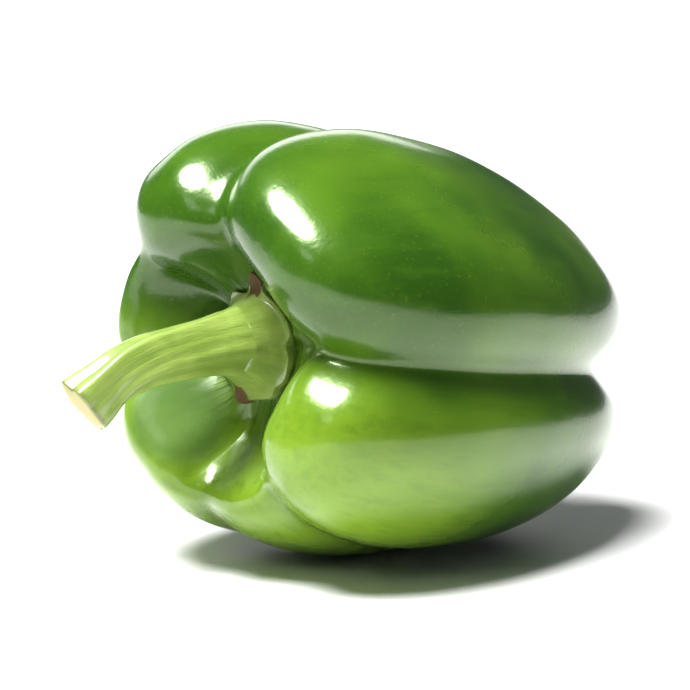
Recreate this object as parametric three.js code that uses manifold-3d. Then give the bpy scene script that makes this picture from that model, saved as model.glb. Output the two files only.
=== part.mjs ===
// A green bell pepper, picked with its stem on and lying on its side.
// Two pieces: the fruit, a blocky body of fused lobes, and the stem, which spreads into the calyx.
//
// Units are millimetres. Each piece is shaped in the growing frame, where +Z runs up the core from
// the blossom end to the stem, and angles round the core start at +X. It is then laid down: the
// stem points to -X and a little up, the growing frame's +X faces -Y, and the table is at Z = 0.
import * as THREE from "three";
import { mergeVertices } from "three/addons/utils/BufferGeometryUtils.js";
import Module from "manifold-3d";

const wasm = await Module();
wasm.setup();

// ---- Driving dimensions -------------------------------------------------------------------------

// One row for each lobe, going round the core. Each lobe is a long rounded block.
//   at      where it stands round the core, in degrees
//   reach   from the core to the outermost point of its back
//   across  half its width round the core
//   deep    half its thickness, out from the core
//   top     height of its shoulder, above the middle of the core
//   tip     height of its blossom end
//   taper   share of its width that it loses towards the blossom end
//   lean    share of its distance from the core that it loses towards the blossom end
//   crest   from the middle of the hollow round the stem to the crest of its shoulder
const LOBES = [
  { at: 55, reach: 39.5, across: 28.5, deep: 16, top: 46, tip: -49.5, taper: 0.22, lean: 0.3, crest: 14.5 },
  { at: -31.5, reach: 43.5, across: 19.5, deep: 19, top: 43.5, tip: -47, taper: 0.24, lean: 0.24, crest: 16.5 },
  { at: -79, reach: 38, across: 17.5, deep: 20, top: 41.5, tip: -49.5, taper: 0.28, lean: 0.37, crest: 27.5 },
  { at: -128.5, reach: 38.5, across: 20.5, deep: 21, top: 44, tip: -44.5, taper: 0.26, lean: 0.33, crest: 21 },
  { at: 168, reach: 36.5, across: 19, deep: 18, top: 43.5, tip: -43.5, taper: 0.24, lean: 0.28, crest: 27 },
  { at: 127, reach: 46.5, across: 17, deep: 21, top: 42.5, tip: -42.5, taper: 0.28, lean: 0.28, crest: 19 },
];
const LOBE_BLOCKINESS = 2.5; // 2 is an ellipse across the lobe, and more is squarer
const LOBE_LENGTH_BLOCKINESS = 2.6; // the same, along it
const NARROWING = { starts: 0.35, curve: 1.6 }; // starts at this share of the half length
const CORE = { radius: 23, top: 38, tip: -43, blockiness: 2.5 };
const SEAM_SHARPNESS = 1.3; // 1/mm: a higher value makes narrower seams between the lobes
const HOLLOW = { x: -1.5, y: 0.2, floor: 26, depth: 17, curve: 3.6, sharpness: 0.5 }; // round the stem
const FOLDS = { depth: 4.5, width: 0.15, from: 8, to: 17 }; // in the hollow, between two lobes
const CREST_BLEND = 14; // a higher value makes the hollow's edge follow each lobe more closely
const SLACK = 1e-9; // keeps the roots below off zero

const FRUIT_SEGMENTS = { round: 80, along: 54 };
const CORE_TILT = 9; // degrees that the core rises towards the stem when the fruit lies down
const FLAT_DEPTH = 0.5; // how far a lobe's back is flattened where it bears on the table

// The stem's middle line in the growing frame, from inside the fruit to the cut.
const STEM_LINE = [
  [-2, 1.5, 20],
  [-2, 1.5, 28],
  [-2.3, 1, 36],
  [-2.6, -0.4, 45],
  [-3.8, -2.6, 54.5],
  [-5, -5.6, 60.5],
  [-7.6, -11.8, 66],
];
const STEM_SEGMENTS = { round: 26, along: 24 };
const STEM_RADIUS = { neck: 4.4, cut: 5.5, swellFrom: 0.8 };
const STEM_RIDGES = { count: 5, height: 0.35 };
const STEM_FOOT = { radius: 8.8, height: 9.5, spread: 6.5 }; // the cone that runs into the calyx
const CALYX = { x: -2, y: 1.5, radius: 9.8, points: 6, pointLength: 0.8, pointAt: 90, thickness: 1.4 };
const CALYX_GAP = 0.3; // clearance that the calyx keeps from the fruit's skin

// ---- The fruit ----------------------------------------------------------------------------------

// How far a point stands out of one lobe, in millimetres: negative inside it.
function outOfLobe(lobe, x, y, z) {
  const angle = THREE.MathUtils.degToRad(lobe.at);
  const middle = (lobe.top + lobe.tip) / 2;
  const along = (z - middle) / ((lobe.top - lobe.tip) / 2);
  const lower = (NARROWING.starts - along) / (1 + NARROWING.starts);
  const narrowing = THREE.MathUtils.clamp(lower, 0, 1.2) ** NARROWING.curve;
  const size = 1 - lobe.taper * narrowing;
  const offset = (lobe.reach - lobe.deep) * (1 - lobe.lean * narrowing);
  const out = (x * Math.cos(angle) + y * Math.sin(angle) - offset) / (lobe.deep * size);
  const round = (y * Math.cos(angle) - x * Math.sin(angle)) / (lobe.across * size);
  const section = norm(round, out, LOBE_BLOCKINESS);
  return (norm(section, along, LOBE_LENGTH_BLOCKINESS) - 1) * Math.min(lobe.across, lobe.deep);
}

// The same for the core, which fills the middle between the lobes.
function outOfCore(x, y, z) {
  const middle = (CORE.top + CORE.tip) / 2;
  const along = (z - middle) / ((CORE.top - CORE.tip) / 2);
  return (norm(Math.hypot(x, y) / CORE.radius, along, CORE.blockiness) - 1) * CORE.radius;
}

// How far a point stands above the hollow that the stem grows from. Its edge is each lobe's crest.
function aboveHollow(x, y, z) {
  const radius = Math.hypot(x - HOLLOW.x, y - HOLLOW.y) + SLACK;
  const facing = LOBES.map((lobe) => facingOfLobe(lobe, (x - HOLLOW.x) / radius, (y - HOLLOW.y) / radius));
  const shares = facing.map((cosine) => Math.exp(CREST_BLEND * (cosine - 1)));
  const total = shares.reduce((sum, share) => sum + share, 0);
  const crest = shares.reduce((sum, share, index) => sum + share * LOBES[index].crest, 0) / total;
  const [nearest, next] = facing.sort((a, b) => b - a);
  const deepened = FOLDS.depth * THREE.MathUtils.smoothstep(radius, FOLDS.from, FOLDS.to);
  const fold = deepened * Math.exp((next - nearest) / FOLDS.width);
  const rise = HOLLOW.depth * (radius / crest) ** HOLLOW.curve;
  const slope = HOLLOW.curve * rise / radius;
  return (z - HOLLOW.floor - rise + fold) / Math.hypot(1, slope);
}

// The cosine of the angle round the stem between a direction and a lobe's middle.
function facingOfLobe(lobe, x, y) {
  const angle = THREE.MathUtils.degToRad(lobe.at);
  return x * Math.cos(angle) + y * Math.sin(angle);
}

// The length of (a, b) measured on a squarer circle: an exponent of 2 is the ordinary length.
function norm(a, b, exponent) {
  return (Math.abs(a) ** exponent + Math.abs(b) ** exponent + SLACK) ** (1 / exponent);
}

// The greatest value, rounded off where two are close.
function softMax(values, sharpness) {
  const greatest = Math.max(...values);
  const sum = values.reduce((total, v) => total + Math.exp(sharpness * (v - greatest)), 0);
  return greatest + Math.log(sum) / sharpness;
}

// Lobes and core joined with rounded seams, less the hollow.
function outOfFruit(x, y, z) {
  const into = LOBES.map((lobe) => -outOfLobe(lobe, x, y, z));
  into.push(-outOfCore(x, y, z));
  const outOfBody = -softMax(into, SEAM_SHARPNESS);
  return softMax([outOfBody, aboveHollow(x, y, z)], HOLLOW.sharpness);
}

// Distance from the middle of the core to the skin, or to a layer above it, along a direction.
function reachOfFruit(direction, above) {
  let inside = 5;
  let outside = 90;
  while (outside - inside > 0.005) {
    const half = (inside + outside) / 2;
    const out = outOfFruit(direction.x * half, direction.y * half, direction.z * half);
    if (out > above) outside = half;
    else inside = half;
  }
  return (inside + outside) / 2;
}

// A sphere whose points are pushed out to the skin, or to a layer above it.
function fruitGeometry(above = 0) {
  const geometry = new THREE.SphereGeometry(1, FRUIT_SEGMENTS.round, FRUIT_SEGMENTS.along);
  geometry.rotateX(Math.PI / 2);
  return moved(geometry, (p) => {
    p.normalize();
    return p.multiplyScalar(reachOfFruit(p, above));
  });
}

// ---- The stem and calyx -------------------------------------------------------------------------

// Radius of the stem at a share of its length and an angle round it.
function stemRadius(share, length, angle) {
  const swell = THREE.MathUtils.smoothstep(share, STEM_RADIUS.swellFrom, 1);
  const neck = THREE.MathUtils.lerp(STEM_RADIUS.neck, STEM_RADIUS.cut, swell);
  const ridge = STEM_RIDGES.height * Math.cos(STEM_RIDGES.count * angle);
  const beyondFoot = Math.max(0, share * length - STEM_FOOT.height);
  const foot = Math.exp(-beyondFoot / STEM_FOOT.spread);
  return THREE.MathUtils.lerp(neck + ridge, STEM_FOOT.radius, foot);
}

// A cylinder bent along the stem's middle line.
function stemGeometry() {
  const line = new THREE.CatmullRomCurve3(STEM_LINE.map((p) => new THREE.Vector3(...p)));
  const length = line.getLength();
  const { round, along } = STEM_SEGMENTS;
  return moved(new THREE.CylinderGeometry(1, 1, 1, round, along), (p) => {
    const share = p.y + 0.5;
    const angle = Math.atan2(p.z, p.x);
    const radius = Math.hypot(p.x, p.z) * stemRadius(share, length, angle);
    const ahead = line.getTangentAt(share);
    const across = new THREE.Vector3(1, 0, 0).projectOnPlane(ahead).normalize();
    const up = new THREE.Vector3().crossVectors(across, ahead);
    return line.getPointAt(share)
      .addScaledVector(across, radius * Math.cos(angle))
      .addScaledVector(up, radius * Math.sin(angle));
  });
}

// An upright prism with the calyx's pointed outline, to cut the calyx from a layer over the skin.
function calyxOutline() {
  const geometry = new THREE.CylinderGeometry(1, 1, 60, 36);
  geometry.rotateX(Math.PI / 2);
  return moved(geometry, (p) => {
    const angle = Math.atan2(p.y, p.x);
    const turn = angle - THREE.MathUtils.degToRad(CALYX.pointAt);
    const radius = CALYX.radius + CALYX.pointLength * Math.cos(CALYX.points * turn);
    return p.set(p.x * radius + CALYX.x, p.y * radius + CALYX.y, p.z + 40);
  });
}

// ---- Solids -------------------------------------------------------------------------------------

// Gives each vertex of a closed geometry a new place, after merging the vertices that meet.
function moved(geometry, place) {
  geometry.deleteAttribute("normal");
  geometry.deleteAttribute("uv");
  const merged = mergeVertices(geometry, 1e-4);
  const position = merged.attributes.position;
  for (let i = 0; i < position.count; i += 1) {
    const target = place(new THREE.Vector3().fromBufferAttribute(position, i));
    position.setXYZ(i, target.x, target.y, target.z);
  }
  return merged;
}

function solidOf(geometry) {
  return new wasm.Manifold(new wasm.Mesh({
    numProp: 3,
    vertProperties: geometry.attributes.position.array,
    triVerts: new Uint32Array(geometry.index.array),
  }));
}

function geometryOf(solid) {
  const { vertProperties, triVerts } = solid.getMesh();
  const geometry = new THREE.BufferGeometry();
  geometry.setAttribute("position", new THREE.BufferAttribute(vertProperties, 3));
  geometry.setIndex(new THREE.BufferAttribute(triVerts, 1));
  geometry.computeVertexNormals();
  return geometry;
}

// Turns a geometry from the growing frame to the way the pepper lies.
function layDown(geometry) {
  const rise = THREE.MathUtils.degToRad(CORE_TILT);
  const stemward = new THREE.Vector3(-Math.cos(rise), 0, Math.sin(rise));
  const sideways = new THREE.Vector3(0, -1, 0);
  const upward = new THREE.Vector3().crossVectors(stemward, sideways);
  return geometry.applyMatrix4(new THREE.Matrix4().makeBasis(sideways, upward, stemward));
}

// A block whose top is the table: what dips into it is flattened.
function tableBlock(height) {
  const size = 300;
  return moved(new THREE.BoxGeometry(size, size, size), (p) => p.setZ(p.z - size / 2 + height));
}

// ---- The pepper ---------------------------------------------------------------------------------

const skin = layDown(fruitGeometry());
skin.computeBoundingBox();
const tableHeight = skin.boundingBox.min.z + FLAT_DEPTH;
const fruitSolid = solidOf(skin).subtract(solidOf(tableBlock(tableHeight)));

const calyxSolid = solidOf(layDown(fruitGeometry(CALYX_GAP + CALYX.thickness)))
  .intersect(solidOf(layDown(calyxOutline())));
const stemSolid = solidOf(layDown(stemGeometry()))
  .add(calyxSolid)
  .subtract(solidOf(layDown(fruitGeometry(CALYX_GAP))));

const fruit = new THREE.Mesh(
  geometryOf(fruitSolid),
  new THREE.MeshStandardMaterial({ color: 0x3f7a14, roughness: 0.12, metalness: 0 }),
);
fruit.name = "fruit";

const stem = new THREE.Mesh(
  geometryOf(stemSolid),
  new THREE.MeshStandardMaterial({ color: 0x9dbb4f, roughness: 0.55, metalness: 0 }),
);
stem.name = "stem_with_calyx";

// The origin is on the table, under the middle of the pepper's box.
const pepper = new THREE.Group();
pepper.add(fruit, stem);
const middle = new THREE.Box3().setFromObject(pepper).getCenter(new THREE.Vector3());
pepper.children.forEach((mesh) => mesh.position.set(-middle.x, -middle.y, -tableHeight));

export default pepper;
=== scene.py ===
"""A green bell pepper lying on its side: the glossy lobed fruit, and the ridged stem in its calyx."""

import logging
import math
from dataclasses import dataclass
from enum import Enum
from typing import Union

import bmesh
import bpy
import numpy as np
from mathutils import Matrix, Vector, noise


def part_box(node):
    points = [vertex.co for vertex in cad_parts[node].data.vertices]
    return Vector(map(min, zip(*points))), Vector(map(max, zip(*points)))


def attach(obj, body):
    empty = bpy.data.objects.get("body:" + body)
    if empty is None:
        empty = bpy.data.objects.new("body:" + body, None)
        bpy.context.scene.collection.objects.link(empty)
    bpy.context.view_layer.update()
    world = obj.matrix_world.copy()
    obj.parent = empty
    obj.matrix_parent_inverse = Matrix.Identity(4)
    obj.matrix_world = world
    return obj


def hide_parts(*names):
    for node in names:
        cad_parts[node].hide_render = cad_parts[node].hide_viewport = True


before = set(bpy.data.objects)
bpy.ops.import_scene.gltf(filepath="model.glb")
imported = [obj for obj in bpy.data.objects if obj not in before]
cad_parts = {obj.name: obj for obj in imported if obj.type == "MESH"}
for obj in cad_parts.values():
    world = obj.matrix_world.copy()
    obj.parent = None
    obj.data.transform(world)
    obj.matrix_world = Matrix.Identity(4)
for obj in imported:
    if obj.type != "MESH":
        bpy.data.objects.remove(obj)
log = logging.getLogger("bell_pepper")

MM = 0.001
TILT = 9  # degrees that the core rises towards the stem
FLATTENED = 0.5  # millimetres of the lowest lobe's back
MIDDLE_HEIGHT = 40  # millimetres

SEARCH_STEPS = 16
SLOPE_STEP = 0.04  # millimetres
GENTLEST_SLOPE = 0.05
TINY = 1e-6
NEARLY_ALL = 0.999
FAR_BELOW = -50.0  # millimetres

Points = np.ndarray
Colour = tuple[float, float, float]
Waves = tuple[tuple[int, float, float], ...]


# ---- Shapes in the growing frame, in millimetres ---------------------------------------------------


def soft_max(values: Points, sharpness: float) -> Points:
    """The greatest value down the first axis, rounded off where two are close.

    Args:
        values: One row for each thing compared.
        sharpness: How tight the rounding is, in 1/mm.

    Returns:
        One value for each column.
    """
    greatest = values.max(axis=0)
    return greatest + np.log(np.exp(sharpness * (values - greatest)).sum(axis=0)) / sharpness


def smooth_step(share: Points) -> Points:
    """Eases shares in and out, from 0 at or below 0 to 1 at or above 1.

    Args:
        share: The shares.

    Returns:
        The eased shares.
    """
    share = np.clip(share, 0, 1)
    return share * share * (3 - 2 * share)


def waves(angle: Points, terms: Waves) -> Points:
    """Adds up waves round a circle.

    Args:
        angle: Angles round it.
        terms: Each wave's count round the circle, its phase and its height.

    Returns:
        One height for each angle.
    """
    return sum(height * np.cos(count * angle + phase) for count, phase, height in terms)


def squarer(a: Points, b: Points, exponent: float) -> Points:
    """The length of (a, b) on a squarer circle, where an exponent of 2 is the ordinary length.

    Args:
        a: First coordinates.
        b: Second coordinates.
        exponent: How square the circle is.

    Returns:
        The lengths.
    """
    return (np.abs(a) ** exponent + np.abs(b) ** exponent + 1e-9) ** (1 / exponent)


@dataclass(frozen=True)
class Lobe:
    """One long rounded block of the fruit.

    Attributes:
        at: Where it stands round the core, in degrees.
        reach: From the core to the outermost point of its back.
        across: Half its width round the core.
        deep: Half its thickness, out from the core.
        top: Height of its shoulder above the middle of the core.
        tip: Height of its blossom end.
        taper: Share of its width lost towards the blossom end.
        lean: Share of its distance from the core lost towards the blossom end.
        crest: From the middle of the stem's hollow to the crest of its shoulder.
        section: How square it is round its length, where 2 is an ellipse.
        profile: How square it is along its length.
        narrows_from: Where its taper starts, from 1 at the shoulder to -1 at the tip.
        narrows_over: How far the taper takes to reach its stated share.
        narrows_most: The most of that share that is used.
        narrows_curve: How late the taper comes on.
    """

    at: float
    reach: float
    across: float
    deep: float
    top: float
    tip: float
    taper: float
    lean: float
    crest: float
    section: float = 2.5
    profile: float = 2.6
    narrows_from: float = 0.35
    narrows_over: float = 1.35
    narrows_most: float = 1.2
    narrows_curve: float = 1.6

    def out(self, p: Points) -> Points:
        """How far points stand out of the lobe: negative inside it.

        Args:
            p: Points, one a row.

        Returns:
            One distance for each point.
        """
        angle = math.radians(self.at)
        along = (p[:, 2] - (self.top + self.tip) / 2) / ((self.top - self.tip) / 2)
        narrowing = np.clip((self.narrows_from - along) / self.narrows_over, 0, self.narrows_most)
        narrowing = narrowing**self.narrows_curve
        size = 1 - self.taper * narrowing
        offset = (self.reach - self.deep) * (1 - self.lean * narrowing)
        out = (p[:, 0] * math.cos(angle) + p[:, 1] * math.sin(angle) - offset) / (self.deep * size)
        round_ = (p[:, 1] * math.cos(angle) - p[:, 0] * math.sin(angle)) / (self.across * size)
        reached = squarer(squarer(round_, out, self.section), along, self.profile)
        return (reached - 1) * min(self.across, self.deep)


@dataclass(frozen=True)
class FruitForm:
    """The fruit's skin as a formula: lobes and a core with creased seams, less the stem's hollow.

    Attributes:
        lobes: The lobes, in order round the core.
        core_radius: The core's radius.
        core_top: Height of its stem end.
        core_tip: Height of its blossom end.
        core_profile: How square it is along its length.
        seam_sharpness: How tight the seams between lobes are, in 1/mm.
        hollow_x: Where the hollow's middle is.
        hollow_y: Where the hollow's middle is.
        hollow_floor: Height of its lowest point.
        hollow_depth: From there to the lobes' crests.
        hollow_curve: How late it rises towards them.
        hollow_sharpness: How tight the rounding is from the hollow to the lobes' backs, in 1/mm.
        crest_blend: How suddenly one lobe's crest gives way to the next one's.
        fold_depth: Depth of the fold between two lobes.
        fold_width: Its width, as a difference between the cosines to the two lobes.
        fold_from: Distance from the middle at which the folds start.
        fold_over: How far on they have their full depth.
        furrow_width: How wide the furrows beside the seams are, and with them the painted shade there.
    """

    lobes: tuple[Lobe, ...] = (
        Lobe(at=55, reach=39.5, across=28.5, deep=16, top=46, tip=-49.5,
             taper=0.22, lean=0.3, crest=14.5),
        Lobe(at=-31.5, reach=43.5, across=19.5, deep=19, top=43.5, tip=-47,
             taper=0.24, lean=0.24, crest=16.5),
        Lobe(at=-79, reach=38, across=17.5, deep=20, top=41.5, tip=-49.5,
             taper=0.28, lean=0.37, crest=27.5),
        Lobe(at=-128.5, reach=38.5, across=20.5, deep=21, top=44, tip=-44.5,
             taper=0.26, lean=0.33, crest=21),
        Lobe(at=168, reach=36.5, across=19, deep=18, top=43.5, tip=-43.5,
             taper=0.24, lean=0.28, crest=27),
        Lobe(at=127, reach=46.5, across=17, deep=21, top=42.5, tip=-42.5,
             taper=0.28, lean=0.28, crest=19),
    )
    core_radius: float = 23
    core_top: float = 38
    core_tip: float = -43
    core_profile: float = 2.5
    seam_sharpness: float = 1.3
    hollow_x: float = -1.5
    hollow_y: float = 0.2
    hollow_floor: float = 26
    hollow_depth: float = 17
    hollow_curve: float = 3.6
    hollow_sharpness: float = 0.5
    crest_blend: float = 14
    fold_depth: float = 4.5
    fold_width: float = 0.15
    fold_from: float = 8
    fold_over: float = 9
    furrow_width: float = 2.2

    def lobe_distances(self, p: Points) -> Points:
        """How far points stand out of each lobe and of the core.

        Args:
            p: Points, one a row.

        Returns:
            One row for each lobe, and a last row for the core.
        """
        middle, half = (self.core_top + self.core_tip) / 2, (self.core_top - self.core_tip) / 2
        across = np.hypot(p[:, 0], p[:, 1]) / self.core_radius
        reached = squarer(across, (p[:, 2] - middle) / half, self.core_profile)
        core = (reached - 1) * self.core_radius
        return np.stack([lobe.out(p) for lobe in self.lobes] + [core])

    def out(self, p: Points) -> Points:
        """How far points stand out of the fruit: negative inside it.

        Args:
            p: Points, one a row.

        Returns:
            One distance for each point.
        """
        body = -soft_max(-self.lobe_distances(p), self.seam_sharpness)
        return soft_max(np.stack([body, self.above_hollow(p)]), self.hollow_sharpness)

    def above_hollow(self, p: Points) -> Points:
        """How far points stand above the hollow round the stem, which has a fold between two lobes.

        Args:
            p: Points, one a row.

        Returns:
            One distance for each point.
        """
        x, y = p[:, 0] - self.hollow_x, p[:, 1] - self.hollow_y
        radius = np.hypot(x, y) + TINY
        angles = np.radians([lobe.at for lobe in self.lobes])[:, None]
        facing = (x * np.cos(angles) + y * np.sin(angles)) / radius
        share = np.exp(self.crest_blend * (facing - 1))
        crests = np.array([lobe.crest for lobe in self.lobes])[:, None]
        crest = (share * crests).sum(axis=0) / share.sum(axis=0)
        nearest = np.sort(facing, axis=0)
        fold = self.fold_depth * np.exp((nearest[-2] - nearest[-1]) / self.fold_width)
        fold = fold * smooth_step((radius - self.fold_from) / self.fold_over)
        rise = self.hollow_depth * (radius / crest) ** self.hollow_curve
        slope = self.hollow_curve * rise / radius
        return (p[:, 2] - self.hollow_floor - rise + fold) / np.hypot(1, slope)

    def on_skin(self, directions: Points) -> Points:
        """Points of the skin out from the middle of the core.

        Args:
            directions: Unit directions, one a row.

        Returns:
            The points, one a row.
        """
        inside = np.full(len(directions), 5.0)
        outside = np.full(len(directions), 90.0)
        for _ in range(SEARCH_STEPS):
            half = (inside + outside) / 2
            out = self.out(directions * half[:, None]) > 0
            outside = np.where(out, half, outside)
            inside = np.where(out, inside, half)
        return directions * inside[:, None]

    def slope(self, p: Points) -> Points:
        """Which way the distance out of the fruit grows fastest.

        Args:
            p: Points, one a row.

        Returns:
            The gradient at each point, one a row.
        """
        ahead = [
            self.out(p + SLOPE_STEP * axis) - self.out(p - SLOPE_STEP * axis) for axis in np.eye(3)]
        return np.stack(ahead, axis=1) / (2 * SLOPE_STEP)

    def back_on_skin(self, p: Points) -> Points:
        """Moves points that are near the skin onto it.

        Args:
            p: Points, one a row.

        Returns:
            The moved points, one a row.
        """
        for _ in range(2):
            slope = self.slope(p)
            steepness = np.maximum((slope**2).sum(axis=1), GENTLEST_SLOPE)
            p = p - slope * (self.out(p) / steepness)[:, None]
        return p

    # The share of painted shade in the seams between lobes.
    def seam_shade(self, p: Points) -> Points:
        """How near points are to a seam between two lobes, from 0 on a lobe's back to 1 in a seam.

        Args:
            p: Points, one a row.

        Returns:
            One share for each point.
        """
        nearest = np.sort(self.lobe_distances(p)[:-1], axis=0)
        return np.exp(-(nearest[1] - nearest[0]) / self.furrow_width)

    def hollow_height(self, x: Points, y: Points) -> Points:
        """Height of the skin in the hollow round the stem.

        Args:
            x: First coordinates.
            y: Second coordinates.

        Returns:
            One height for each place.
        """
        low, high = np.full(x.shape, 12.0), np.full(x.shape, 52.0)
        for _ in range(SEARCH_STEPS):
            half = (low + high) / 2
            out = self.out(np.stack([x, y, half], axis=1)) > 0
            high = np.where(out, half, high)
            low = np.where(out, low, half)
        return (low + high) / 2


@dataclass(frozen=True)
class LaidDown:
    """How the growing frame lies in the row frame.

    Attributes:
        turn: Growing axes as columns, in the row frame.
        origin: The growing frame's origin in the row frame, in millimetres.
    """

    turn: Points
    origin: Points

    @classmethod
    def from_box(cls, form: FruitForm, tilt: float, flat: float) -> "LaidDown":
        """Lays the fruit on the table so that it fills the CAD fruit's box.

        Args:
            form: The fruit's shape.
            tilt: Degrees that the core rises towards the stem.
            flat: Millimetres of the lowest lobe's back that are flattened.

        Returns:
            The placement.
        """
        rise = math.radians(tilt)
        stemward = np.array([-math.cos(rise), 0, math.sin(rise)])
        sideways = np.array([0.0, -1.0, 0.0])
        turn = np.stack([sideways, np.cross(stemward, sideways), stemward], axis=1)
        bm = bmesh.new()
        bmesh.ops.create_icosphere(bm, subdivisions=6, radius=1)  # fine enough to find the box
        directions = np.array([v.co.normalized() for v in bm.verts])
        bm.free()
        lying = form.on_skin(directions) @ turn.T
        low, high = (np.array(corner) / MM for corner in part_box("fruit"))
        middle = (low + high) / 2 - (lying.min(axis=0) + lying.max(axis=0)) / 2
        return cls(turn, np.array([middle[0], middle[1], -lying[:, 2].min() - flat]))

    def to_row(self, p: Points) -> Points:
        """Growing-frame millimetres to row-frame metres.

        Args:
            p: Points, one a row.

        Returns:
            The points, one a row.
        """
        return (p @ self.turn.T + self.origin) * MM

    def to_growing(self) -> tuple[Vector, Vector, float]:
        """What a Mapping node needs to turn row-frame metres into growing-frame millimetres.

        Returns:
            Location, rotation and scale.
        """
        back = Matrix(self.turn.T.tolist())
        location = -(back @ Vector(self.origin))
        return location, Vector(back.to_euler("XYZ")), 1 / MM


# ---- Shader nodes ----------------------------------------------------------------------------------


class Value:
    """A number in a shader, on which Python's operators add Math nodes."""

    def __init__(self, shader: "Shader", socket: bpy.types.NodeSocket) -> None:
        """Wraps a socket.

        Args:
            shader: The shader it belongs to.
            socket: The output socket that holds the number.
        """
        self.shader = shader
        self.socket = socket

    def _with(self, operation: str, *others: "Number", first: bool = True) -> "Value":
        """Adds a Math node.

        Args:
            operation: The node's operation.
            others: The other numbers.
            first: Whether this number comes before them.

        Returns:
            The result.
        """
        numbers = (self, *others) if first else (*others, self)
        return self.shader.math(operation, *numbers)

    def __add__(self, other: "Number") -> "Value":
        """This plus other."""
        return self._with("ADD", other)

    def __radd__(self, other: "Number") -> "Value":
        """Other plus this."""
        return self._with("ADD", other)

    def __sub__(self, other: "Number") -> "Value":
        """This less other."""
        return self._with("SUBTRACT", other)

    def __rsub__(self, other: "Number") -> "Value":
        """Other less this."""
        return self._with("SUBTRACT", other, first=False)

    def __mul__(self, other: "Number") -> "Value":
        """This times other."""
        return self._with("MULTIPLY", other)

    def __rmul__(self, other: "Number") -> "Value":
        """Other times this."""
        return self._with("MULTIPLY", other)

    def ramp(self, low: float, high: float) -> "Value":
        """A smooth step from 0 where this is low to 1 where it is high.

        Args:
            low: Where it starts; it may be above high.
            high: Where it ends.

        Returns:
            The step.
        """
        node = self.shader.node(
            "ShaderNodeMapRange", {"interpolation_type": "SMOOTHSTEP"},
            {"Value": self, "From Min": low, "From Max": high})
        return Value(self.shader, node.outputs["Result"])


Number = Union[Value, float]
Input = Union[Value, bpy.types.NodeSocket, float, Colour, Vector]
Inputs = dict[Union[str, int], Input]


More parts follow.
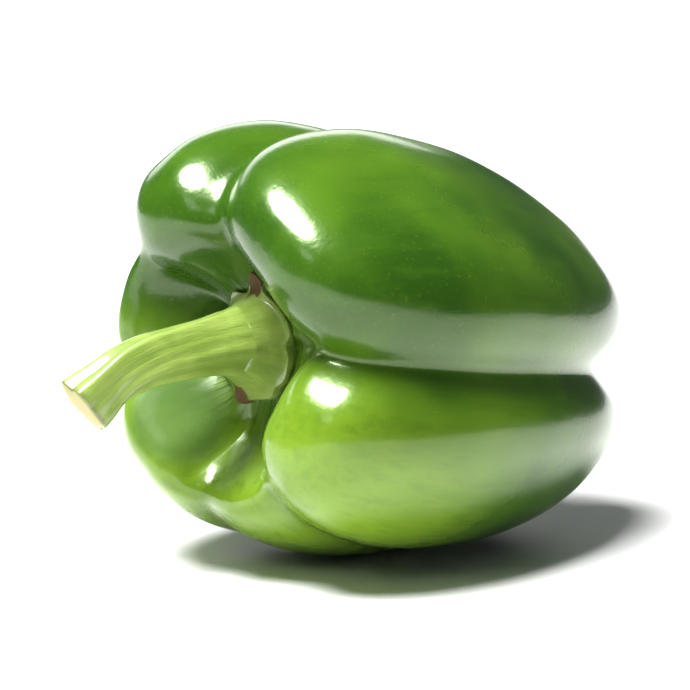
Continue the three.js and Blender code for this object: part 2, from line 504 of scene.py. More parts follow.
class Shader:
    """The nodes of a material or of the world, under construction."""

    def __init__(self, owner: Union[bpy.types.Material, bpy.types.World]) -> None:
        """Starts with no nodes.

        Args:
            owner: The material or world that they belong to.
        """
        self.owner = owner
        owner.use_nodes = True
        self.tree = owner.node_tree
        self.tree.nodes.clear()

    @classmethod
    def named(cls, name: str) -> "Shader":
        """A new material's shader."""
        return cls(bpy.data.materials.new(name))

    def node(self, kind: str, settings: dict[str, object], inputs: Inputs) -> bpy.types.Node:
        """Adds any node.

        Args:
            kind: The node's type.
            settings: Its settings, such as a Math node's operation.
            inputs: Values or links for its sockets, by name or number.

        Returns:
            The node.
        """
        node = self.tree.nodes.new(kind)
        for name, value in settings.items():
            setattr(node, name, value)
        for key, value in inputs.items():
            socket = node.inputs[key]
            if isinstance(value, Value):
                self.tree.links.new(value.socket, socket)
            elif isinstance(value, bpy.types.NodeSocket):
                self.tree.links.new(value, socket)
            elif isinstance(value, tuple) and len(value) == 3 and socket.type == "RGBA":
                socket.default_value = (*value, 1)
            else:
                socket.default_value = value
        return node

    def math(self, operation: str, *numbers: Number) -> Value:
        """Adds a Math node.

        Args:
            operation: The node's operation.
            numbers: Its inputs in order.

        Returns:
            The result.
        """
        node = self.node("ShaderNodeMath", {"operation": operation}, dict(enumerate(numbers)))
        return Value(self, node.outputs[0])

    def mix(self, share: Number, a: Input, b: Input) -> bpy.types.NodeSocket:
        """Mixes two colours.

        Args:
            share: How much of the second one.
            a: The first colour.
            b: The second colour.

        Returns:
            The mixed colour.
        """
        node = self.node("ShaderNodeMix", {"data_type": "RGBA"}, {0: share, 6: a, 7: b})
        return node.outputs[2]

    def stretch(self, vector: Input, scale: tuple[float, float, float]) -> bpy.types.NodeSocket:
        """Scales a vector along its axes.

        Args:
            vector: The vector.
            scale: One factor for each axis.

        Returns:
            The scaled vector.
        """
        node = self.node("ShaderNodeVectorMath", {"operation": "MULTIPLY"}, {0: vector, 1: scale})
        return node.outputs[0]

    def cloud(self, vector: Input, scale: float, detail: float = 2, rough: float = 0.5) -> Value:
        """Soft noise from 0 to 1.

        Args:
            vector: Where it is looked up.
            scale: How many blotches to one unit.
            detail: How many finer layers it has.
            rough: How strong the finer layers are.

        Returns:
            The noise.
        """
        node = self.node(
            "ShaderNodeTexNoise", {},
            {"Vector": vector, "Scale": scale, "Detail": detail, "Roughness": rough})
        return Value(self, node.outputs["Fac"])

    def growing(self, lying: LaidDown) -> bpy.types.NodeSocket:
        """The object's coordinates as growing-frame millimetres.

        Args:
            lying: How the growing frame lies.

        Returns:
            The vector.
        """
        location, rotation, scale = lying.to_growing()
        coordinates = self.node("ShaderNodeTexCoord", {}, {})
        mapping = self.node("ShaderNodeMapping", {"vector_type": "POINT"}, {
            "Vector": coordinates.outputs["Object"], "Location": location,
            "Rotation": rotation, "Scale": (scale,) * 3})
        return mapping.outputs[0]

    def split(self, vector: Input) -> tuple[Value, Value, Value]:
        """A vector's three numbers.

        Args:
            vector: The vector.

        Returns:
            Its X, Y and Z.
        """
        node = self.node("ShaderNodeSeparateXYZ", {}, {0: vector})
        x, y, z = (Value(self, socket) for socket in node.outputs)
        return x, y, z

    def places(self, name: str) -> bpy.types.NodeSocket:
        """One of the mesh's own attributes, as a vector."""
        return self.node("ShaderNodeAttribute", {"attribute_name": name}, {}).outputs["Vector"]

    def share(self, name: str) -> Value:
        """One of the mesh's own attributes, as a number."""
        node = self.node("ShaderNodeAttribute", {"attribute_name": name}, {})
        return Value(self, node.outputs["Fac"])

    def bump(self, height: Value, distance: float) -> bpy.types.NodeSocket:
        """Turns a height into a bent normal.

        Args:
            height: The height, from 0 to 1.
            distance: How high 1 is, in metres.

        Returns:
            The normal.
        """
        node = self.node("ShaderNodeBump", {}, {"Height": height, "Distance": distance, "Strength": 1})
        return node.outputs[0]

    def finish(self, inputs: Inputs) -> bpy.types.Material:
        """Ends the material with a Principled shader.

        Args:
            inputs: Values or links for the shader's sockets.

        Returns:
            The material.
        """
        shader = self.node("ShaderNodeBsdfPrincipled", {}, inputs)
        self.node("ShaderNodeOutputMaterial", {}, {"Surface": shader.outputs[0]})
        return self.owner


# ---- Finishes --------------------------------------------------------------------------------------


@dataclass(frozen=True)
class Skin:
    """Waxy pepper skin: deep green, with lime shoulders, faint lengthwise streaks and specks.

    Attributes:
        deep: Darkest green, of blotches and of painted shade in seams, round the calyx and by the
            stem.
        green: The usual green.
        lime: The palest green, low at the stem end.
        scar: The dry spot at the blossom end.
        blotch_scale: Blotches to a millimetre.
        streak_scale: Streaks to a millimetre, across them.
        streak_squash: The same along them, as a share of that.
        speck_scale: Specks to a millimetre.
        fine_scale: Fine bumps to a millimetre.
        wrinkle_scale: Wrinkles round the calyx to a radian.
        relief: Height of the streaks and bumps, in metres.
        roughness: Of the flesh under the wax.
        tint: Colour of its gloss.
        wax: Strength of the wax's gloss.
        dull_at: Middle of the duller, painted-shade patch by the stem, in growing-frame millimetres.
        dull_radius: Its radius in millimetres.
    """

    deep: Colour = (0.016, 0.056, 0.003)
    green: Colour = (0.044, 0.112, 0.005)
    lime: Colour = (0.150, 0.262, 0.014)
    scar: Colour = (0.13, 0.1, 0.03)
    blotch_scale: float = 0.035
    streak_scale: float = 0.28
    streak_squash: float = 0.16
    speck_scale: float = 1.6
    fine_scale: float = 0.9
    wrinkle_scale: float = 13
    relief: float = 0.00016
    roughness: float = 0.2
    tint: Colour = (0.8, 1.0, 0.55)
    wax: float = 0.38
    dull_at: tuple[float, float, float] = (-11, -12, 38)
    dull_radius: float = 13

    def material(self, lying: LaidDown) -> bpy.types.Material:
        """Builds the material.

        Args:
            lying: How the growing frame lies.

        Returns:
            The material.
        """
        s = Shader.named("pepper_skin")
        place = s.growing(lying)
        x, y, z = s.split(place)
        axis = s.math("SQRT", x * x + y * y)
        streaks = s.cloud(s.stretch(place, (1, 1, self.streak_squash)), self.streak_scale, 4, 0.6)
        specks = s.cloud(place, self.speck_scale)
        fine = s.cloud(place, self.fine_scale, 3)
        colour = self.greens(s, place, y, z, streaks)
        # Painted shade: the seams between lobes darkened towards deep green.
        colour = s.mix(s.share("seam_shade") * 0.45, colour, self.deep)
        colour = s.mix(specks.ramp(0.62, 0.75) * 0.18, colour, self.lime)
        scar = (axis + specks * 3).ramp(3.4, 1.8) * z.ramp(-20, -30)
        colour = s.mix(scar, colour, self.scar)
        by_calyx = axis.ramp(19, 9) * z.ramp(10, 22)
        wrinkles = self.wrinkles(s, place)
        # Painted shade in the hollow round the calyx, in dark radial streaks that follow its real
        # wrinkles.
        colour = s.mix(by_calyx * wrinkles.ramp(0.5, 0.38) * 0.75, colour, self.deep)
        # A duller patch beside the stem, whose colour is also darkened with painted shade.
        dull_and_shaded = self.dull_and_shaded(s, place)
        colour = s.mix(dull_and_shaded * 0.8, colour, self.deep)
        height = streaks * 0.5 + fine * 0.25 + specks * 0.06 + wrinkles * by_calyx * 2.5
        return s.finish({
            "Base Color": colour,
            "Roughness": self.roughness + streaks * 0.08 + scar * 0.4 + dull_and_shaded * 0.5,
            "Normal": s.bump(height, self.relief),
            "Specular IOR Level": 0.5,
            "Specular Tint": self.tint,
            "Coat Weight": self.wax * (1 - scar) * (1 - dull_and_shaded * 0.92),
            "Coat Roughness": 0.1,
            "Coat IOR": 1.45,
            "Subsurface Weight": 0.12,
            "Subsurface Radius": Vector((0.5, 1.0, 0.15)),
            "Subsurface Scale": 0.003,
        })

    def greens(
        self, s: Shader, place: Input, y: Value, z: Value, streaks: Value
    ) -> bpy.types.NodeSocket:
        """The skin's greens: blotches, lime low at the stem end, and streaks.

        Args:
            s: The shader.
            place: Growing-frame millimetres.
            y: The same, upward.
            z: The same, towards the stem.
            streaks: The streaks, from 0 to 1.

        Returns:
            The colour.
        """
        blotches = s.cloud(place, self.blotch_scale)
        stemward, low = z.ramp(-10, 46), y.ramp(14, -26)
        limey = (blotches * 0.7 + stemward * low * 0.85 - 0.3).ramp(0.0, 0.8)
        colour = s.mix(blotches.ramp(0.3, 0.7), self.deep, self.green)
        colour = s.mix(limey, colour, self.lime)
        colour = s.mix(streaks.ramp(0.45, 0.75) * 0.35, colour, self.green)
        return s.mix(streaks.ramp(0.5, 0.25) * 0.3, colour, self.deep)

    def wrinkles(self, s: Shader, place: Input) -> Value:
        """Wrinkles that run out from the core.

        Args:
            s: The shader.
            place: Growing-frame millimetres.

        Returns:
            Their height, from 0 to 1.
        """
        outward = s.node(
            "ShaderNodeVectorMath", {"operation": "NORMALIZE"},
            {0: s.stretch(place, (1, 1, 0))}).outputs[0]
        return s.cloud(outward, self.wrinkle_scale, 3, 0.6)

    def dull_and_shaded(self, s: Shader, place: Input) -> Value:
        """Where the skin has less wax and painted shade, from 0 to 1.

        Args:
            s: The shader.
            place: Growing-frame millimetres.

        Returns:
            The share.
        """
        away = s.node(
            "ShaderNodeVectorMath", {"operation": "DISTANCE"}, {0: place, 1: self.dull_at})
        return Value(s, away.outputs["Value"]).ramp(self.dull_radius, self.dull_radius * 0.62)


@dataclass(frozen=True)
class StemSkin:
    """Ridged stem skin: pale yellow green, brown and dry on the calyx's flaps and at the cut.

    Attributes:
        pale: The usual yellow green.
        green: The greener green, between the ridges.
        dry: The brown of dry edges.
        tan: The cut face.
        fibre_scale: Fibres to a millimetre, across them.
        fibre_squash: The same along them, as a share of that.
        fine_scale: Fine fibres to a millimetre, across them.
        fine_squash: The same along them, as a share of that.
        blotch_scale: Blotches to a millimetre.
        relief: Height of the fibres, in metres.
        wax: Strength of the wax's gloss.
    """

    pale: Colour = (0.27, 0.36, 0.075)
    green: Colour = (0.145, 0.225, 0.028)
    dry: Colour = (0.085, 0.048, 0.010)
    tan: Colour = (0.42, 0.33, 0.16)
    fibre_scale: float = 0.9
    fibre_squash: float = 0.09
    fine_scale: float = 3.2
    fine_squash: float = 0.12
    blotch_scale: float = 0.16
    relief: float = 0.00028
    wax: float = 0.9

    def material(self) -> bpy.types.Material:
        """Builds the material.

        Returns:
            The material.
        """
        s = Shader.named("stem_skin")
        straight, along, cut = s.places("straight"), s.share("along"), s.share("cut")
        fibres = s.cloud(s.stretch(straight, (1, 1, self.fibre_squash)), self.fibre_scale, 4, 0.65)
        fine = s.cloud(s.stretch(straight, (1, 1, self.fine_squash)), self.fine_scale, 3)
        blotches = s.cloud(straight, self.blotch_scale, 3)
        paler = (blotches * 0.7 + fibres * 0.3 - 0.1).ramp(0.15, 0.65)
        colour = s.mix(paler, self.green, self.pale)
        colour = s.mix(s.share("ridge").ramp(0.4, 0.0) * 0.7, colour, self.green)
        dried = (s.share("dry") * (0.35 + blotches) + fine * 0.5 - 0.35).ramp(0.2, 0.7)
        colour = s.mix(dried, colour, self.dry)
        face = s.mix(blotches.ramp(0.45, 0.75), self.tan, self.pale)
        colour = s.mix(cut, colour, face)
        edge = along.ramp(0.975, 0.998) * (1 - cut) * blotches.ramp(0.35, 0.6)
        colour = s.mix(edge * 0.6, colour, self.dry)
        return s.finish({
            "Base Color": colour,
            "Roughness": 0.34 + fibres * 0.12 + dried * 0.4 + cut * 0.3,
            "Normal": s.bump(fibres * 0.7 + fine * 0.3, self.relief),
            "Specular IOR Level": 0.5,
            "Coat Weight": self.wax * (1 - dried) * (1 - cut),
            "Coat Roughness": 0.13,
            "Subsurface Weight": 0.15,
            "Subsurface Radius": Vector((1.0, 1.0, 0.3)),
            "Subsurface Scale": 0.002,
        })


# ---- Pieces ----------------------------------------------------------------------------------------


def piece_from(bm: bmesh.types.BMesh, name: str, material: bpy.types.Material) -> bpy.types.Object:
    """Makes a smooth-shaded object at the origin from a bmesh.

    Args:
        bm: The mesh, which is freed.
        name: The object's name.
        material: Its material.

    Returns:
        The object.
    """
    bmesh.ops.recalc_face_normals(bm, faces=bm.faces)
    mesh = bpy.data.meshes.new(name)
    for face in bm.faces:
        face.smooth = True
    bm.to_mesh(mesh)
    bm.free()
    mesh.materials.append(material)
    piece = bpy.data.objects.new(name, mesh)
    bpy.context.scene.collection.objects.link(piece)
    return piece


def set_places(bm: bmesh.types.BMesh, places: Points) -> None:
    """Gives each vertex its place.

    Args:
        bm: The mesh.
        places: One place a row, in the order of the vertices.
    """
    for vertex, place in zip(bm.verts, places.tolist()):
        vertex.co = place


def get_places(bm: bmesh.types.BMesh) -> Points:
    """Each vertex's place, one a row."""
    return np.array([v.co for v in bm.verts])


def set_shares(bm: bmesh.types.BMesh, name: str, shares: Points) -> None:
    """Gives each vertex a number that a finish reads.

    Args:
        bm: The mesh.
        name: The attribute's name.
        shares: One number for each vertex.
    """
    layer = bm.verts.layers.float.new(name)
    for vertex, share in zip(bm.verts, shares.tolist()):
        vertex[layer] = share


@dataclass
class Fruit:
    """The fruit: a finely divided block, rounded, pushed out to the skin and evened out on it.

    Attributes:
        form: The fruit's shape.
        lying: How it lies.
        finish: Its skin.
        cuts: Cuts across each side of the block.
        even_passes: Times that the mesh is evened out and put back on the skin.
        soft_passes: Times that it is then smoothed, which softens the seams.
        wobble: Height of the skin's unevenness, in millimetres.
        wide_waves: Length of its wide waves round the core and along it, in millimetres.
        small_waves: The same of its small waves.
        small_share: Height of the small waves as a share of the wide ones.
    """

    form: FruitForm
    lying: LaidDown
    finish: Skin
    cuts: int = 107
    even_passes: int = 14
    soft_passes: int = 2
    wobble: float = 0.35
    wide_waves: tuple[float, float] = (15, 34)
    small_waves: tuple[float, float] = (6, 16)
    small_share: float = 0.35

    def build(self) -> bpy.types.Object:
        """Builds and dresses the fruit.

        Returns:
            The object.
        """
        bm = bmesh.new()
        bmesh.ops.create_cube(bm, size=2)
        bmesh.ops.subdivide_edges(bm, edges=bm.edges, cuts=self.cuts, use_grid_fill=True)
        places = np.tan(get_places(bm) * (math.pi / 4))  # makes the cuts' angles even
        places = self.form.on_skin(places / np.linalg.norm(places, axis=1)[:, None])
        for _ in range(self.even_passes):
            set_places(bm, places)
            self.smooth(bm)
            places = self.form.back_on_skin(get_places(bm))
        set_places(bm, places)
        for _ in range(self.soft_passes):
            self.smooth(bm)
        places = get_places(bm)
        # Painted shade in the seams, which the skin's finish reads.
        set_shares(bm, "seam_shade", self.form.seam_shade(places))
        places = self.lying.to_row(self.uneven(places))
        places[:, 2] = np.maximum(places[:, 2], 0)
        set_places(bm, places)
        return piece_from(bm, "pepper_fruit", self.finish.material(self.lying))

    def smooth(self, bm: bmesh.types.BMesh) -> None:
        """Moves each vertex halfway to the middle of its neighbours."""
        bmesh.ops.smooth_vert(
            bm, verts=bm.verts, factor=0.5, use_axis_x=True, use_axis_y=True, use_axis_z=True)

    def uneven(self, places: Points) -> Points:
        """Adds the skin's slight unevenness.

        Args:
            places: Points of the skin, one a row.

        Returns:
            The moved points, one a row.
        """
        slope = self.form.slope(places)
        outward = slope / np.linalg.norm(slope, axis=1)[:, None]
        heights = self.rise_and_fall(places, self.wide_waves)
        heights += self.small_share * self.rise_and_fall(places, self.small_waves)
        return places + outward * (self.wobble * heights)[:, None]

    def rise_and_fall(self, places: Points, lengths: tuple[float, float]) -> Points:
        """Soft irregular waves.

        Args:
            places: Points of the skin, one a row.
            lengths: Length of the waves round the core and along it.

        Returns:
            One height for each point.
        """
        scaled = places / np.array([lengths[0], lengths[0], lengths[1]])
        return np.array([noise.noise(Vector(place)) for place in scaled.tolist()])


@dataclass
class StemInCalyx:
    """The stem and the calyx it spreads into: one long tube, bent, ridged, flared and turned under.

    The tube's first part is the calyx, from under the stem out to the rim and back up to the foot,
    and the rest is the stem.

    Attributes:
        form: The fruit's shape.
        lying: How it lies.
        finish: The stem's skin.
        line: Points of the stem's middle line, in growing-frame millimetres.
        line_start: Share of that line at which the stem leaves the calyx.
        line_steps: Steps that the line is divided into.
        line_rounding: Steps over which its corners are rounded.
        neck: Radius at the thinnest.
        cut_radius: Radius at the cut.
        swell_from: Share of the stem at which it starts to swell towards the cut.
        cut_crown: How far the cut face stands out in its middle.
        foot: Radius of the flared foot.
        foot_height: Height at which it has that radius.
        foot_spread: Height over which it falls off to the neck.
        ridges: Ridges of the stem, as waves.
        ridge_turn: How far they turn along the stem, in radians.
        ridge_in_foot: Share of their height that the foot takes away.
        rim: Radius of the calyx's edge.
        rim_points: Its six blunt uneven points, as waves.
        flaps: Its dry flaps: angle in degrees, length, and width in radians.
        flap_dry_from: Length past the edge at which a flap is dry.
        skirt: Share of the tube that is the calyx.
        skirt_profile: The calyx's section, from underneath to the foot: share of the way, share
            of the way from the foot out to the rim, and height above the skin.
        skirt_sharpness: How tight the rounding is between the calyx and the foot, in 1/mm.
        skirt_cone_from: Share of the calyx from which it follows the foot's flare.
        skirt_joined: Share of the calyx at which it starts to turn into the stem.
        dry_edge: Where the calyx's edge is dry: strength, middle and width, as shares of it.
        segments: Faces round the tube.
        rings: Faces along it.
    """

    form: FruitForm
    lying: LaidDown
    finish: StemSkin
    line: tuple[tuple[float, float, float], ...] = (
        (-2, 1.5, 20), (-2, 1.5, 28), (-2.3, 1, 36), (-2.6, -0.4, 45),
        (-3.8, -2.6, 54.5), (-5, -5.6, 60.5), (-7.6, -11.8, 66),
    )
    line_start: float = 0.3
    line_steps: int = 400
    line_rounding: int = 35
    neck: float = 4.4
    cut_radius: float = 5.5
    swell_from: float = 0.78
    cut_crown: float = 0.5
    foot: float = 8.8
    foot_height: float = 29.5
    foot_spread: float = 6.5
    ridges: Waves = ((5, 0, 0.5), (8, 1.3, 0.2), (13, 0.4, 0.07))
    ridge_turn: float = 0.35
    ridge_in_foot: float = 0.3
    rim: float = 9.6
    rim_points: Waves = ((6, 0, 0.6), (2, 0.6, 0.3), (11, 0, 0.2))
    flaps: tuple[tuple[float, float, float], ...] = (
        (97, 2.6, 0.13), (128, 1.6, 0.2), (-62, 1.4, 0.2), (-108, 2.0, 0.2),
    )
    flap_dry_from: float = 0.9
    skirt: float = 0.36
    skirt_profile: tuple[tuple[float, float, float], ...] = (
        (0, 0.35, -4), (0.12, 0.96, -0.3), (0.2, 1, 0.15), (0.26, 1, 0.6), (0.34, 0.97, 0.95),
        (1, 0, 1.3),
    )
    skirt_sharpness: float = 1.6
    skirt_cone_from: float = 0.3
    skirt_joined: float = 0.86
    dry_edge: tuple[float, float, float] = (0.45, 0.24, 0.12)
    segments: int = 120
    rings: int = 150

    def build(self) -> bpy.types.Object:
        """Builds and dresses the stem and calyx.

        Returns:
            The object.
        """
        bm = self.tube()
        raw = get_places(bm)
        share = np.clip(raw[:, 2] + 0.5, 0, 1)
        angle = np.arctan2(raw[:, 1], raw[:, 0])
        inner = np.minimum(np.hypot(raw[:, 0], raw[:, 1]), 1)
        up = np.clip((share - self.skirt) / (1 - self.skirt), 0, 1)
        low = np.clip(share / self.skirt, 0, 1)
        ridge = waves(angle + self.ridge_turn * up, self.ridges)
        stem, radius = self.stem(up, angle, inner, ridge)
        calyx = self.calyx(low, angle, inner, ridge)
        joined = self.skirt * self.skirt_joined
        blend = smooth_step((share - joined) / (self.skirt - joined))[:, None]
        self.mark(bm, share, angle, inner, radius, ridge)
        set_places(bm, self.lying.to_row(calyx * (1 - blend) + stem * blend))
        return piece_from(bm, "pepper_stem", self.finish.material())

    def tube(self) -> bmesh.types.BMesh:
        """A closed upright tube of radius 1 and length 1, finely divided.

        Returns:
            The mesh.
        """
        bm = bmesh.new()
        bmesh.ops.create_cone(
            bm, cap_ends=True, segments=self.segments, radius1=1, radius2=1, depth=1)
        upright = [e for e in bm.edges if abs(e.verts[0].co.z - e.verts[1].co.z) > 0.5]
        bmesh.ops.subdivide_edges(bm, edges=upright, cuts=self.rings)
        caps = [f for f in bm.faces if len(f.verts) > 4]
        for _ in range(5):
            bmesh.ops.inset_region(bm, faces=caps, thickness=0.16, use_even_offset=False)
        bmesh.ops.poke(bm, faces=caps)
        return bm

    def centre(self, share: Points) -> tuple[Points, Points]:
        """The stem's middle line.

        Args:
            share: Shares of its length, from the foot.

        Returns:
            Points of the line, and unit directions along it, one a row.
        """
        knots = np.array(self.line, dtype=float)
        steps = np.linalg.norm(np.diff(knots, axis=0), axis=1)
        at = np.concatenate([[0], np.cumsum(steps)])
        fine = np.linspace(0, at[-1], self.line_steps)
        raw = np.stack([np.interp(fine, at, knots[:, i]) for i in range(3)], axis=1)
        round_ = self.line_rounding
        kernel = np.hanning(2 * round_ + 1)
        kernel /= kernel.sum()
        before = raw[0] + (raw[0] - raw[1:round_ + 1][::-1])
        after = raw[-1] + (raw[-1] - raw[-round_ - 1:-1][::-1])
        padded = np.concatenate([before, raw, after])
        smooth = np.stack([np.convolve(padded[:, i], kernel, "valid") for i in range(3)], axis=1)
        ahead = np.gradient(smooth, axis=0)
        ahead /= np.linalg.norm(ahead, axis=1)[:, None]
        where = share * (len(smooth) - 1)
        index = np.arange(len(smooth))
        point = np.stack([np.interp(where, index, smooth[:, i]) for i in range(3)], axis=1)
        way = np.stack([np.interp(where, index, ahead[:, i]) for i in range(3)], axis=1)
        return point, way

    def rim_radius(self, angle: Points) -> Points:
        """Radius of the calyx's edge, with its blunt points and its flaps.

        Args:
            angle: Angles round the stem.

        Returns:
            One radius for each angle.
        """
        points = waves(angle - math.pi / 2, self.rim_points)
        for at, length, width in self.flaps:
            away = np.angle(np.exp(1j * (angle - math.radians(at))))
            points += length * np.exp(-((away / width) ** 2))
        return self.rim + points

    def stem(
        self, up: Points, angle: Points, inner: Points, ridge: Points
    ) -> tuple[Points, Points]:
        """Points of the stem.

        Args:
            up: How far along the stem each point is.
            angle: Its angle round the stem.
            inner: Its share of the stem's radius, below 1 on the cut face.
            ridge: How far the ridges stand out there.

        Returns:
            The points, one a row, and the stem's radius at each.
        """
        middle, ahead = self.centre(self.line_start + (1 - self.line_start) * up)
        swell = smooth_step((up - self.swell_from) / (1 - self.swell_from))
        neck = self.neck + (self.cut_radius - self.neck) * swell
        flare = np.exp(-np.clip(middle[:, 2] - self.foot_height, 0, None) / self.foot_spread)
        radius = neck + (self.foot - neck) * flare + ridge * (1 - self.ridge_in_foot * flare)
        across = np.array([1.0, 0, 0]) - ahead * ahead[:, :1]
        across /= np.linalg.norm(across, axis=1)[:, None]
        over = np.cross(ahead, across)
        ring = np.cos(angle)[:, None] * across + np.sin(angle)[:, None] * over
        crown = (1 - inner**2) * self.cut_crown * (up > NEARLY_ALL)
        return middle + ring * (radius * inner)[:, None] + ahead * crown[:, None], radius

    def calyx(self, low: Points, angle: Points, inner: Points, ridge: Points) -> Points:
        """Points of the calyx, which follows the skin of the hollow.

        Args:
            low: How far from its underside to the stem each point is.
            angle: Its angle round the stem.
            inner: Its share of the calyx's radius, below 1 on the underside's face.
            ridge: How far the ridges stand out there.

        Returns:
            The points, one a row.
        """
        foot, _ = self.centre(np.full(len(low), self.line_start))
        edge = self.rim_radius(angle)
        fall = math.exp(-(float(foot[0, 2]) - self.foot_height) / self.foot_spread)
        top_radius = self.neck + (self.foot - self.neck) * fall + ridge * 0.8
        stops, outward, lift = np.array(self.skirt_profile).T
        under = stops[1]
        spread = top_radius + (edge - top_radius) * np.interp(low, stops, outward)
        beneath = edge * (outward[0] + (outward[1] - outward[0]) * low / under)
        spread = np.where(low < under, beneath, spread) * inner
        x = foot[:, 0] + spread * np.cos(angle)
        y = foot[:, 1] + spread * np.sin(angle)
        on_skin = self.form.hollow_height(x, y) + np.interp(low, stops, lift)
        flare = np.maximum((spread - self.neck) / (self.foot - self.neck), 1e-3)
        cone = self.foot_height - self.foot_spread * np.log(flare)
        cone = np.where(low > self.skirt_cone_from, cone, FAR_BELOW)
        both = np.stack([on_skin, np.minimum(cone, foot[:, 2] + 1)])
        return np.stack([x, y, soft_max(both, self.skirt_sharpness)], axis=1)

    def mark(
        self, bm: bmesh.types.BMesh, share: Points, angle: Points, inner: Points,
        radius: Points, ridge: Points,
    ) -> None:
        """Stores what the finish reads.

        Args:
            bm: The mesh.
            share: How far along the tube each vertex is.
            angle: Its angle round the tube.
            inner: Its share of the tube's radius.
            radius: The stem's radius there.
            ridge: How far the ridges stand out there.
        """
        length = np.linalg.norm(np.diff(np.array(self.line), axis=0), axis=1).sum()
        around = np.stack([np.cos(angle), np.sin(angle)], axis=1) * (radius * inner)[:, None]
        straight = np.concatenate([around, (share * length)[:, None]], axis=1)
        layer = bm.verts.layers.float_vector.new("straight")
        for vertex, place in zip(bm.verts, straight.tolist()):
            vertex[layer] = Vector(place)
        low = np.clip(share / self.skirt, 0, 1)
        strength, middle, width = self.dry_edge
        dry = strength * np.exp(-((low - middle) / width) ** 2) * (share < self.skirt)
        flap = np.clip(self.rim_radius(angle) - self.rim - self.flap_dry_from, 0, 1)
        set_shares(bm, "along", share)
        set_shares(bm, "ridge", np.clip(0.5 + ridge, 0, 1))
        set_shares(bm, "dry", dry + flap * (low < 0.7) * 1.5)
        set_shares(bm, "cut", ((share > NEARLY_ALL) & (inner < 0.93)).astype(float))


# ---- Studio ----------------------------------------------------------------------------------------


class Lamp(Enum):
    """The studio's lights.

    Each is its azimuth from the camera's and its elevation in degrees, its distance, width and depth
    in metres, and its power in watts.
    """

    OVERHEAD = (-60, 70, 1.3, 0.8, 0.8, 66)
    BEHIND = (-168, 16, 1.6, 1.4, 0.5, 4)
    FRONT_FILL = (-35, 35, 1.8, 0.5, 0.5, 2)


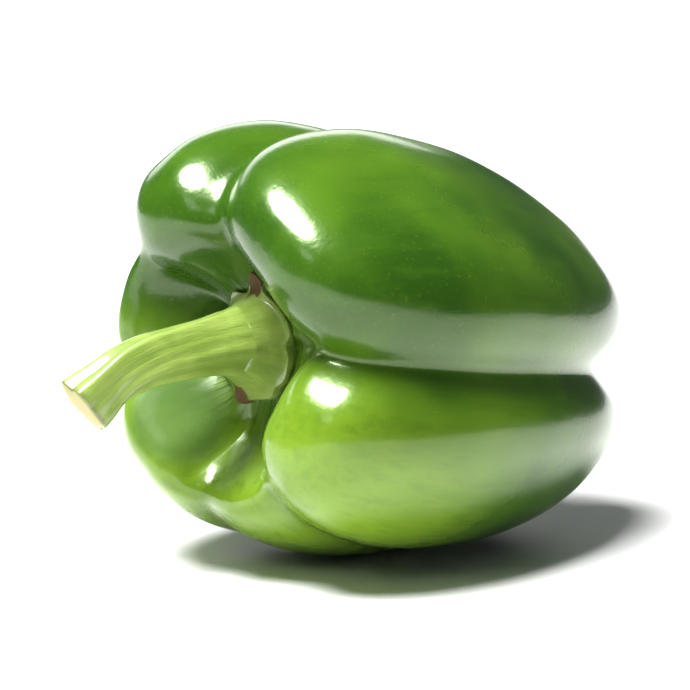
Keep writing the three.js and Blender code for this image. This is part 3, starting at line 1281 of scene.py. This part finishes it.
@dataclass
class Studio:
    """Floor, lights, background and camera.

    Attributes:
        middle: A point in the middle of the object, in metres.
        shift: How far right of it and above it the camera looks, in metres.
        azimuth: The camera's azimuth in degrees: 0 looks along +Y.
        elevation: The camera's height above the horizon in degrees.
        distance: From the camera to the target, in metres.
        field: Width of the view at the target, in metres.
        sensor: Width of the camera's sensor, in millimetres.
        floor_reach: From the middle of the table top to its sides, in metres.
    """

    middle: Vector
    shift: tuple[float, float] = (-0.0045, -0.0023)
    azimuth: float = -47
    elevation: float = 11
    distance: float = 1.1
    field: float = 0.1278
    sensor: float = 36
    floor_reach: float = 1.1

    @property
    def target(self) -> Vector:
        """What the camera looks at, in metres."""
        back = self.direction(0, self.elevation)
        right = Vector((0, 0, 1)).cross(back).normalized()
        return self.middle + right * self.shift[0] + back.cross(right) * self.shift[1]

    def direction(self, azimuth: float, elevation: float) -> Vector:
        """The way from the object towards a place in the studio.

        Args:
            azimuth: Degrees from the camera's azimuth, positive to its right.
            elevation: Degrees above the horizon.

        Returns:
            A unit vector.
        """
        a, e = math.radians(self.azimuth + azimuth), math.radians(elevation)
        return Vector((math.sin(a) * math.cos(e), -math.cos(a) * math.cos(e), math.sin(e)))

    def build(self) -> None:
        """Makes everything round the object."""
        self.make_floor()
        self.make_lamps()
        self.make_background()
        self.make_camera()

    def make_floor(self) -> None:
        """Makes the white table top."""
        s = Shader.named("white_table")
        place = s.node("ShaderNodeTexCoord", {}, {}).outputs["Object"]
        shade = s.cloud(place, 3)
        colour = s.mix(shade, (0.80, 0.80, 0.79), (0.84, 0.84, 0.84))
        bm = bmesh.new()
        bmesh.ops.create_grid(bm, x_segments=1, y_segments=1, size=self.floor_reach)
        floor = piece_from(bm, "table_top", s.finish({"Base Color": colour, "Roughness": 0.6}))

    def make_lamps(self) -> None:
        """Makes the soft boxes."""
        for lamp in Lamp:
            azimuth, elevation, distance, width, depth, power = lamp.value
            data = bpy.data.lights.new(lamp.name.lower(), "AREA")
            data.shape = "ELLIPSE"
            data.size, data.size_y, data.energy = width, depth, power
            light = bpy.data.objects.new(lamp.name.lower(), data)
            back = self.direction(azimuth, elevation)
            light.location = self.target + back * distance
            light.rotation_euler = back.to_track_quat("Z", "Y").to_euler()
            bpy.context.scene.collection.objects.link(light)

    def make_background(self) -> None:
        """White where the camera sees it, and dim in reflections, like a dark room."""
        world = bpy.data.worlds.new("studio")
        bpy.context.scene.world = world
        s = Shader(world)
        seen = s.node("ShaderNodeBackground", {}, {"Color": (1, 1, 1), "Strength": 1.2})
        room = s.node("ShaderNodeBackground", {}, {"Color": (0.9, 0.95, 1), "Strength": 0.07})
        path = s.node("ShaderNodeLightPath", {}, {})
        mix = s.node(
            "ShaderNodeMixShader", {},
            {0: path.outputs["Is Camera Ray"], 1: room.outputs[0], 2: seen.outputs[0]})
        s.node("ShaderNodeOutputWorld", {}, {"Surface": mix.outputs[0]})

    def make_camera(self) -> None:
        """Makes the camera, with a long lens and no depth of field."""
        data = bpy.data.cameras.new("camera")
        data.sensor_width = self.sensor
        data.lens = self.sensor * self.distance / self.field
        data.clip_start, data.clip_end = 0.05, 50
        camera = bpy.data.objects.new("camera", data)
        back = self.direction(0, self.elevation)
        camera.location = self.target + back * self.distance
        camera.rotation_euler = back.to_track_quat("Z", "Y").to_euler()
        bpy.context.scene.collection.objects.link(camera)
        bpy.context.scene.camera = camera


# ---- The pepper ------------------------------------------------------------------------------------


def dress(piece: bpy.types.Object, node: str) -> None:
    """Puts a finished piece in the place of its CAD node.

    Args:
        piece: The piece.
        node: The CAD node it stands for.
    """
    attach(piece, "root")
    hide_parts(node)
    log.info("%s: %d faces", piece.name, len(piece.data.polygons))


def main() -> None:
    """Builds the pepper and its studio."""
    logging.basicConfig(level=logging.INFO, format="%(name)s: %(message)s")
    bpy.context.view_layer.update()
    form = FruitForm()
    lying = LaidDown.from_box(form, TILT, FLATTENED)
    dress(Fruit(form, lying, Skin()).build(), "fruit")
    dress(StemInCalyx(form, lying, StemSkin()).build(), "stem_with_calyx")

    Studio(Vector((lying.origin[0], lying.origin[1], MIDDLE_HEIGHT)) * MM).build()
    settings = bpy.context.scene.view_settings
    settings.view_transform, settings.look = "Standard", "None"


if __name__ == "__main__":
    main()
